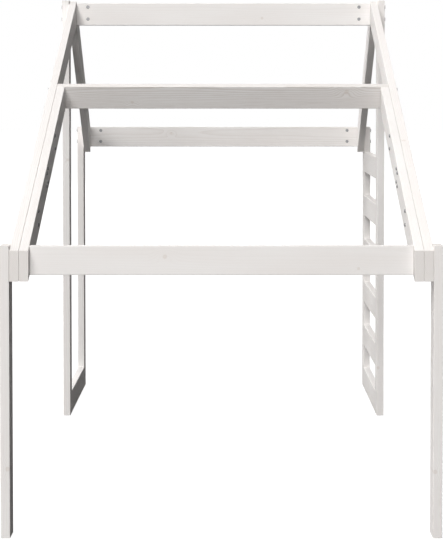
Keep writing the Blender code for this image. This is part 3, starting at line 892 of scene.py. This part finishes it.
# %% A bench for geometry trees
def geometry_tree(name, inputs):
    tree = bpy.data.node_groups.new(name, "GeometryNodeTree")
    tree.interface.new_socket("Geometry", in_out="INPUT", socket_type="NodeSocketGeometry")
    tree.interface.new_socket("Geometry", in_out="OUTPUT", socket_type="NodeSocketGeometry")
    for label, kind in inputs:
        tree.interface.new_socket(label, in_out="INPUT", socket_type=f"NodeSocket{kind}")
    bench = Bench(tree)
    return bench, bench.node("NodeGroupInput").outputs, bench.node("NodeGroupOutput")


def run_tree(name, tree, mesh, **values):
    """Runs a geometry tree on the mesh with these named inputs, and returns the mesh that comes out."""
    host = put_in_scene(name, mesh)
    modifier = host.modifiers.new("work", "NODES")
    modifier.node_group = tree
    for item in tree.interface.items_tree:
        key = item.name.replace(" ", "_")
        if item.in_out == "INPUT" and key in values:
            modifier[item.identifier] = values.pop(key)
    if values:
        raise ValueError(f"no input named {sorted(values)}")
    host.update_tag()
    return evaluated(host)


def store(bench, geometry, name, domain, kind, value):
    made = bench.node("GeometryNodeStoreNamedAttribute", data_type=kind, domain=domain)
    made.inputs["Name"].default_value = name
    bench.feed(made.inputs["Geometry"], geometry)
    bench.feed(made.inputs["Value"], value)
    return made.outputs[0]


def recall(bench, name, kind):
    made = bench.node("GeometryNodeInputNamedAttribute", data_type=kind)
    made.inputs["Name"].default_value = name
    return made.outputs[0]


def chance(bench, low, high, seed):
    """A random vector for each element, from a fixed seed."""
    made = bench.node("FunctionNodeRandomValue", data_type="FLOAT_VECTOR")
    made.inputs[0].default_value = low
    made.inputs[1].default_value = high
    bench.feed(made.inputs["Seed"], seed)
    return made.outputs[0]


def realized(bench, geometry, material, leave):
    """Copies made real and given their material, at the end of every tree."""
    real = bench.node("GeometryNodeRealizeInstances")
    bench.feed(real.inputs[0], geometry)
    coat = bench.node("GeometryNodeSetMaterial")
    bench.feed(coat.inputs["Geometry"], real.outputs[0])
    bench.feed(coat.inputs["Material"], material)
    bench.feed(leave.inputs[0], coat.outputs[0])


# %% Build the ladder
def ladder_tree():
    bench, given, leave = geometry_tree("ladder boards", [
        ("Board", "Object"), ("Boards", "Int"), ("Step", "Float"), ("Seed", "Int"),
        ("Finish", "Material")])
    line = bench.node("GeometryNodeMeshLine", mode="OFFSET")
    bench.feed(line.inputs["Count"], given["Boards"])
    bench.feed(line.inputs["Offset"], bench.join(0.0, 0.0, given["Step"]))
    first = bench.node("GeometryNodeObjectInfo", transform_space="ORIGINAL")
    bench.feed(first.inputs["Object"], given["Board"])
    copies = bench.node("GeometryNodeInstanceOnPoints")
    bench.feed(copies.inputs["Points"], line.outputs[0])
    bench.feed(copies.inputs["Instance"], first.outputs["Geometry"])
    shift = chance(bench, (0.0, -0.035, -0.035), (30.0, 0.035, 0.035), given["Seed"])
    told = store(bench, copies.outputs[0], "shift", "INSTANCE", "FLOAT_VECTOR", shift)
    aside = chance(bench, (-22.0, -3.0, 0.0), (22.0, 3.0, 0.0),
                   bench.math("ADD", given["Seed"], 1.0))
    told = store(bench, told, "aside", "INSTANCE", "FLOAT_VECTOR", aside)
    real = bench.node("GeometryNodeRealizeInstances")
    bench.feed(real.inputs[0], told)
    moved = bench.vector("ADD", recall(bench, "log", "FLOAT_VECTOR"),
                         recall(bench, "shift", "FLOAT_VECTOR"))
    made = store(bench, real.outputs[0], "log", "POINT", "FLOAT_VECTOR", moved)
    moved = bench.vector("ADD", recall(bench, "knot", "FLOAT_VECTOR"),
                         recall(bench, "aside", "FLOAT_VECTOR"))
    made = store(bench, made, "knot", "CORNER", "FLOAT_VECTOR", moved)
    realized(bench, made, given["Finish"], leave)
    return bench.tree


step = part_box(LADDER[1])[0].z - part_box(LADDER[0])[0].z
pattern = put_in_scene("ladder pattern", finish_board(LADDER[0], PINE))
mesh = run_tree("ladder", ladder_tree(), bpy.data.meshes.new("start"), Board=pattern,
                Boards=len(LADDER), Step=step, Seed=11, Finish=PINE)
bpy.data.objects.remove(pattern, do_unlink=True)
ladder = put_in_scene("pine_ladder_boards", mesh)
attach(ladder, "root")
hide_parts(*LADDER)
print("ladder of", len(LADDER), "boards, one every", f"{1000 * step:.1f} mm,", len(mesh.polygons), "faces")

# %% [markdown]
# ## Turning the steel fittings
# A bolt, a screw and a barrel nut are turned parts. Half of the section is drawn as a line from the axis out
# and back to the axis, and Spin carries it round. A line that starts and ends on the axis closes by itself
# once the doubles there are merged. The driving recess is then cut into the head. The rings on the shanks
# stand for the threads, which nobody sees inside the wood.

# %% The lathe
LATHE_SIDES = 32


def arc(centre_r, centre_z, radius, start, end, steps=5):
    """Points (r, z) on an arc, angles in degrees from the outward direction."""
    turns = [math.radians(start + (end - start) * k / steps) for k in range(steps + 1)]
    return [(centre_r + radius * math.cos(t), centre_z + radius * math.sin(t)) for t in turns]


def thread(radius, top, bottom, pitch, depth):
    """A zigzag down the shank: one ring for each turn of the thread."""
    turns = round((top - bottom) / pitch)
    points = []
    for k in range(turns):
        z = top - k * pitch
        points += [(radius, z), (radius - depth, z - pitch / 2)]
    return points + [(radius, bottom)]


def turned(profile, sides=LATHE_SIDES):
    bm = bmesh.new()
    verts = [bm.verts.new((r, 0.0, z)) for r, z in profile]
    edges = [bm.edges.new(pair) for pair in zip(verts, verts[1:])]
    bmesh.ops.spin(bm, geom=verts + edges, cent=(0.0, 0.0, 0.0), axis=(0.0, 0.0, 1.0),
                   angle=math.tau, steps=sides, use_merge=True)
    bmesh.ops.remove_doubles(bm, verts=bm.verts, dist=1e-6)
    bmesh.ops.dissolve_degenerate(bm, edges=bm.edges, dist=1e-7)
    bmesh.ops.recalc_face_normals(bm, faces=bm.faces)
    return bm


def carved(name, bm, cutters):
    """Cuts every cutter out of a turned part; returns the part as a pattern object."""
    mesh = bpy.data.meshes.new(name)
    bm.to_mesh(mesh)
    bm.free()
    part = put_in_scene(name, mesh)
    for k, cutter in enumerate(cutters):
        tool_mesh = bpy.data.meshes.new("tool")
        cutter.to_mesh(tool_mesh)
        cutter.free()
        tool = put_in_scene("tool", tool_mesh)
        cut = part.modifiers.new(f"cut {k}", "BOOLEAN")
        cut.operation = "DIFFERENCE"
        cut.solver = "EXACT"
        cut.object = tool
        part = put_in_scene(name, evaluated(part))
        bpy.data.objects.remove(tool, do_unlink=True)
    part.data.shade_smooth()
    part.data.set_sharp_from_angle(angle=math.radians(38.0))
    return part


def prism(sides, radius, low, high):
    bm = bmesh.new()
    bmesh.ops.create_cone(bm, cap_ends=True, segments=sides, radius1=radius, radius2=radius,
                          depth=high - low, matrix=Matrix.Translation((0, 0, (low + high) / 2)))
    return bm


def bar(size, place):
    bm = bmesh.new()
    made = bmesh.ops.create_cube(bm, size=1.0)
    bmesh.ops.scale(bm, vec=size, verts=made["verts"])
    bmesh.ops.translate(bm, vec=place, verts=made["verts"])
    return bm


# %% Bolts, screws and barrel nuts
THREAD_DEEP = 0.00045
BOLT_SHANK = 0.0029
BOLT_PITCH = 0.0010
SOCKET_R = 0.0023
SOCKET_DEEP = 0.0019
SCREW_SHANK = 0.0019
SCREW_PITCH = 0.0016
SUNK_HEAD_R = 0.0040


def bolt_pattern(length, head_radius, head_height):
    crown = 0.0009
    under = head_height * 0.35
    profile = [(0.0, -length), (0.0021, -length), (BOLT_SHANK, -length + 0.0009)]
    profile += thread(BOLT_SHANK, -length + 0.0210, -length + 0.0010, BOLT_PITCH, THREAD_DEEP)[::-1]
    profile += [(BOLT_SHANK, 0.0), (head_radius - 0.0003, 0.0), (head_radius, 0.0003)]
    profile += [(head_radius, under)]
    profile += arc(head_radius - crown, head_height - crown, crown, 0.0, 90.0)
    profile += [(0.0026, head_height), (0.0, head_height)]
    socket = prism(6, SOCKET_R, head_height - SOCKET_DEEP, head_height + 0.002)
    return carved("bolt pattern", turned(profile), [socket])


def wood_thread(length):
    """The pointed, threaded part that every wood screw starts with, from the tip up."""
    tip = [(0.0, -length), (0.0006, -length + 0.0018), (SCREW_SHANK, -length + 0.0060)]
    return tip + thread(SCREW_SHANK, -length * 0.45, -length + 0.0062, SCREW_PITCH, THREAD_DEEP)[::-1]


def cross_recess(long, wide, deep, top):
    """Two crossed bars, centred on the top of the head."""
    return [bar((long, wide, deep), (0.0, 0.0, top)), bar((wide, long, deep), (0.0, 0.0, top))]


def screw_pattern(length):
    """A countersunk screw."""
    cone = SUNK_HEAD_R - SCREW_SHANK
    profile = wood_thread(length)
    profile += [(SCREW_SHANK - 0.0002, -cone - 0.0004), (SUNK_HEAD_R, -0.0004), (SUNK_HEAD_R, -0.0002)]
    profile += [(SUNK_HEAD_R - 0.0003, 0.0), (0.0, 0.0)]
    return carved("screw pattern", turned(profile), cross_recess(0.0040, 0.0009, 0.0028, 0.0))


def pan_head_pattern(length, head_radius, head_height):
    """A screw with a low round head that stays on the board."""
    profile = wood_thread(length)
    profile += [(SCREW_SHANK, 0.0), (head_radius - 0.0002, 0.0), (head_radius, 0.0002)]
    soft = head_height - 0.0006
    profile += arc(head_radius - soft, head_height - soft, soft, 0.0, 90.0)
    profile += [(0.0, head_height)]
    return carved("pan head pattern", turned(profile), cross_recess(0.0044, 0.0010, 0.0030, head_height))


NUT_SIDES = 28
NUT_BORE = 0.0031
NUT_SLOT = (0.0068, 0.0012, 0.0024)


def nut_pattern(radius, head, foot):
    soft = 0.0006
    profile = [(0.0, foot)] + arc(radius - soft, foot + soft, soft, -90.0, 0.0, 3)
    profile += arc(radius - soft, head - soft, soft, 0.0, 90.0, 3) + [(0.0, head)]
    hole = bmesh.new()
    bmesh.ops.create_cone(hole, cap_ends=True, segments=20, radius1=NUT_BORE, radius2=NUT_BORE,
                          depth=4 * radius, matrix=Matrix.Rotation(math.radians(90), 4, "Y"))
    return carved("nut pattern", turned(profile, NUT_SIDES), [hole, bar(NUT_SLOT, (0, 0, head))])


def place_tree():
    """Sets one pattern at each point, its Z turned to the point's way, and each turned a little."""
    bench, given, leave = geometry_tree("set fittings", [
        ("Pattern", "Object"), ("Head Turn", "Float"), ("Seed", "Int"), ("Finish", "Material")])
    shape = bench.node("GeometryNodeObjectInfo", transform_space="ORIGINAL")
    bench.feed(shape.inputs["Object"], given["Pattern"])
    upright = bench.node("FunctionNodeAlignRotationToVector", axis="Z")
    bench.feed(upright.inputs["Vector"], recall(bench, "way", "FLOAT_VECTOR"))
    dice = bench.node("FunctionNodeRandomValue", data_type="FLOAT")
    dice.inputs[2].default_value = 0.0
    bench.feed(dice.inputs[3], given["Head Turn"])
    bench.feed(dice.inputs["Seed"], given["Seed"])
    spin = bench.node("FunctionNodeEulerToRotation")
    bench.feed(spin.inputs[0], bench.join(0.0, 0.0, dice.outputs[1]))
    both = bench.node("FunctionNodeRotateRotation", rotation_space="LOCAL")
    bench.feed(both.inputs[0], upright.outputs[0])
    bench.feed(both.inputs[1], spin.outputs[0])
    copies = bench.node("GeometryNodeInstanceOnPoints")
    bench.feed(copies.inputs["Points"], given["Geometry"])
    bench.feed(copies.inputs["Instance"], shape.outputs["Geometry"])
    bench.feed(copies.inputs["Rotation"], both.outputs[0])
    realized(bench, copies.outputs[0], given["Finish"], leave)
    return bench.tree


def marks(places):
    """A mesh with one loose point for each (place, way)."""
    mesh = bpy.data.meshes.new("marks")
    mesh.from_pydata([place for place, _ in places], [], [])
    ways = [number for _, way in places for number in way]
    mesh.attributes.new("way", "FLOAT_VECTOR", "POINT").data.foreach_set("vector", ways)
    return mesh


PLACE_TREE = place_tree()


def set_fittings(name, places, pattern, replaced=(), turn=math.tau, seed=3):
    mesh = run_tree(name, PLACE_TREE, marks(places), Pattern=pattern, Head_Turn=turn, Seed=seed,
                    Finish=ZINC)
    bpy.data.objects.remove(pattern, do_unlink=True)
    fittings = put_in_scene(name, mesh)
    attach(fittings, "root")
    if replaced:
        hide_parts(*replaced)
    print(name, len(places), "pieces,", len(mesh.polygons), "faces")


# %% Set the bolts and the barrel nuts
HEAD_R = 0.0062
HEAD_H = 0.0034


def under_head(node, way):
    """The point under a bolt's head, and the length of its shank."""
    low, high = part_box(node)
    out = high.x if way.x > 0 else low.x
    return Vector((out - way.x * HEAD_H, *middle(node).yz)), high.x - low.x - HEAD_H


for label, joints in (("front_bolts", ("front",)), ("beam_bolts", ("purlin", "ridge", "back"))):
    chosen = [(node, way) for node, way, joint in bolts if joint in joints]
    spots = [under_head(node, way) for node, way in chosen]
    set_fittings(label, [(spot, way) for (spot, _), (_, way) in zip(spots, chosen)],
                 bolt_pattern(spots[0][1], HEAD_R, HEAD_H), [node for node, _ in chosen])

NUT_R = 0.0050
NUT_LENGTH = 0.0160
NUT_SUNK = 0.0004
nut_head = BOARD_T / 2 - NUT_SUNK
places = []
for node, mouth, _ in nuts:
    # the bolt's hole is the nut's origin, half a board under the face that the nut goes in by
    mid = middle(node)
    places.append((mid - mouth * (nut_head - NUT_LENGTH / 2), mouth))
set_fittings("barrel_nuts", places, nut_pattern(NUT_R, nut_head, nut_head - NUT_LENGTH),
             [node for node, _, _ in nuts], turn=0.0)

# %% Set the wood screws
SINK_PLAY = 0.0003      # countersunk heads lie this far under the wood
PAN_R = 0.0046
PAN_H = 0.0028
set_fittings("splice_screws", splice_screws, pan_head_pattern(SCREW_LONG, PAN_R, PAN_H), seed=5)
set_fittings("ridge_screws", [(place - way * SINK_PLAY, way) for place, way in ridge_screws],
             screw_pattern(SCREW_LONG), seed=6)
places = [(Vector((middle(node).x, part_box(node)[1].y, middle(node).z)), way)
          for node, way, _ in tail_screws]
set_fittings("tail_screws", places, screw_pattern(TAIL_SCREW_LONG),
             [node for node, _, _ in tail_screws], seed=7)

# %% [markdown]
# ## Dowels
# A dowel has flutes so that glue can get out of its hole, and its ends are tapered so that it starts easily.
# A star curve is already that section. Swept along a short line whose radius falls off at both ends, it makes
# the dowel without any mesh code, and the same tree sets one in each hole.

# %% Set the dowels
PEG_RADIUS = 0.0040
PEG_LENGTH = 0.0300
FLUTES = 20
FLUTE_DEPTH = 0.0003
PEG_TAPER = 0.16        # of the radius, lost at each end
PEG_STEPS = 13


def dowel_tree():
    bench, given, leave = geometry_tree("fluted dowels", [
        ("Radius", "Float"), ("Flute Depth", "Float"), ("Length", "Float"), ("Flutes", "Int"),
        ("Taper", "Float"), ("Finish", "Material")])
    star = bench.node("GeometryNodeCurveStar")
    bench.feed(star.inputs["Points"], given["Flutes"])
    bench.feed(star.inputs["Outer Radius"], given["Radius"])
    bench.feed(star.inputs["Inner Radius"],
               bench.math("SUBTRACT", given["Radius"], given["Flute Depth"]))
    half = bench.math("MULTIPLY", given["Length"], 0.5)
    line = bench.node("GeometryNodeCurvePrimitiveLine")
    bench.feed(line.inputs["Start"], bench.join(0.0, 0.0, bench.math("MULTIPLY", half, -1.0)))
    bench.feed(line.inputs["End"], bench.join(0.0, 0.0, half))
    steps = bench.node("GeometryNodeResampleCurve")
    bench.feed(steps.inputs["Curve"], line.outputs[0])
    steps.inputs["Count"].default_value = PEG_STEPS
    share = bench.node("GeometryNodeSplineParameter").outputs["Factor"]
    from_end = bench.math("MINIMUM", share, bench.math("SUBTRACT", 1.0, share))
    radius = bench.math("MULTIPLY_ADD", from_end, 4.0, bench.math("SUBTRACT", 1.0, given["Taper"]))
    taper = bench.node("GeometryNodeSetCurveRadius")
    bench.feed(taper.inputs[0], steps.outputs[0])
    bench.feed(taper.inputs["Radius"], bench.math("MINIMUM", radius, 1.0))
    body = bench.node("GeometryNodeCurveToMesh")
    bench.feed(body.inputs["Curve"], taper.outputs[0])
    bench.feed(body.inputs["Profile Curve"], star.outputs[0])
    body.inputs["Fill Caps"].default_value = True
    bench.feed(body.inputs["Scale"], bench.math("MINIMUM", radius, 1.0))
    upright = bench.node("FunctionNodeAlignRotationToVector", axis="Z")
    bench.feed(upright.inputs["Vector"], recall(bench, "way", "FLOAT_VECTOR"))
    copies = bench.node("GeometryNodeInstanceOnPoints")
    bench.feed(copies.inputs["Points"], given["Geometry"])
    bench.feed(copies.inputs["Instance"], body.outputs[0])
    bench.feed(copies.inputs["Rotation"], upright.outputs[0])
    realized(bench, copies.outputs[0], given["Finish"], leave)
    return bench.tree


mesh = run_tree("dowels", dowel_tree(), marks(pegs), Radius=PEG_RADIUS, Flute_Depth=FLUTE_DEPTH,
                Length=PEG_LENGTH, Flutes=FLUTES, Taper=PEG_TAPER, Finish=BEECH)
dowels = put_in_scene("beech_dowels", mesh)
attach(dowels, "root")
print("dowels:", len(pegs), "pieces,", len(mesh.polygons), "faces")

# %% [markdown]
# ## Floor and light
# White furniture on a white floor only reads by its shades, so the light has a clear side. The strongest box
# stands low on the left. Two more hang high in front on the left and one hangs overhead, so that the tops
# are the brightest faces. One straight in front keeps the grain of the near faces readable, and a weak one
# behind shows the back to anybody who walks round. All stand far away, so that the back of the bed is hardly
# darker than the front. A last box stands on the right, for the outside of the right-hand boards only: a
# studio hand would hold up a black card, called a flag, so that the inner faces across the bed stay dark,
# and light linking is Blender's flag.
# The floor is a sheet of pale paper lit from behind, so it stays white to the edge of the picture, and no
# shade shows on it. It sends almost no light back up to the bed, which keeps the undersides of the rafters
# dark enough to see their shape.

# %% Floor
FLOOR_HALF = 40.0
bm = bmesh.new()
bmesh.ops.create_grid(bm, x_segments=8, y_segments=8, size=FLOOR_HALF,
                      matrix=Matrix.Translation((0.0, 0.0, cad_low.z - 0.0004)))
floor_mesh = bpy.data.meshes.new("floor")
bm.to_mesh(floor_mesh)
bm.free()
floor = put_in_scene("floor", floor_mesh)
floor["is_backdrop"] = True


PAPER_GLOW = 0.95       # near the bed
GLOW_EDGE = (1.2, 4.5)  # metres from the middle: from here to there the glow rises to full white
PAPER_DARK = (0.20, 0.20, 0.20, 1.0)
PAPER_LIGHT = (0.23, 0.23, 0.23, 1.0)
PAPER_TO_BED = (0.03, 0.03, 0.03, 1.0)


def floor_paper():
    material, bench, surface = new_material("pale_paper")
    place = bench.node("ShaderNodeTexCoord").outputs["Object"]
    pulp = bench.noise(place, 45.0, 4.0)
    seen = bench.mix(bench.smooth(pulp, 0.3, 0.7), PAPER_DARK, PAPER_LIGHT)
    for_camera = bench.node("ShaderNodeLightPath").outputs["Is Camera Ray"]
    bench.feed(surface.inputs["Base Color"], bench.mix(for_camera, PAPER_TO_BED, seen))
    away = bench.vector("LENGTH", place)
    glow = bench.smooth(away, *GLOW_EDGE, PAPER_GLOW, 1.0)
    bench.feed(surface.inputs["Emission Strength"], bench.math("MULTIPLY", glow, for_camera))
    surface.inputs["Emission Color"].default_value = (1.0, 1.0, 1.0, 1.0)
    surface.inputs["Roughness"].default_value = 0.95
    surface.inputs["Specular IOR Level"].default_value = 0.0
    return material


floor_mesh.materials.append(floor_paper())
print("floor", 2 * FLOOR_HALF, "m square")

# %% Studio light
WORLD_FILL = 0.165
LAMP_COLOUR = (1.0, 0.988, 0.974)
LIGHTS = (
    # name, place from the middle of the bed, size, power
    ("key_high_left", (-5.0, -7.0, 10.0), 4.0, 790.0),
    ("key_high_front", (-3.0, -10.0, 10.0), 5.0, 300.0),
    ("top_soft", (0.0, -0.8, 10.0), 7.0, 240.0),
    ("left_low", (-12.0, 1.2, 2.4), 6.0, 1120.0),
    ("front_fill", (-1.2, -15.0, 1.2), 6.0, 1140.0),
    ("back_fill", (-1.5, 14.0, 4.0), 6.0, 420.0),
    ("right_flagged", (12.0, 1.5, 3.0), 6.0, 760.0),
)
bpy.context.scene.view_settings.view_transform = "Standard"
room = bpy.data.worlds.new("studio")
room.use_nodes = True
bpy.context.scene.world = room
bench = Bench(room.node_tree)
room.node_tree.nodes["Background"].inputs["Color"].default_value = (1.0, 1.0, 1.0, 1.0)
seen = bench.node("ShaderNodeLightPath").outputs["Is Camera Ray"]
strength = bench.math("MULTIPLY_ADD", seen, 1.0 - WORLD_FILL, WORLD_FILL)
bench.feed(room.node_tree.nodes["Background"].inputs["Strength"], strength)
aim = (cad_low + cad_high) / 2
for name, offset, size, power in LIGHTS:
    lamp = bpy.data.lights.new(name, "AREA")
    lamp.shape = "DISK"
    lamp.size = size
    lamp.energy = power
    lamp.color = LAMP_COLOUR
    holder = bpy.data.objects.new(name, lamp)
    bpy.context.scene.collection.objects.link(holder)
    holder.location = aim + Vector(offset)
    holder.rotation_euler = (-Vector(offset)).to_track_quat("-Z", "Y").to_euler()
    holder.visible_camera = False
flagged = bpy.data.collections.new("lit from the right")
for thing in bpy.context.scene.objects:
    if thing.name.startswith("pine_") and thing.name.endswith("_right") or thing == ladder:
        flagged.objects.link(thing)
bpy.data.objects["right_flagged"].light_linking.receiver_collection = flagged

# %% [markdown]
# ## Size
# The finished boards have to lie inside the frame's box. Both boxes are printed, to be compared.

# %% Sizes
low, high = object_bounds()
print("frame box ", [round(v, 4) for v in (*cad_low, *cad_high)])
print("visual box", [round(v, 4) for v in (*low, *high)])
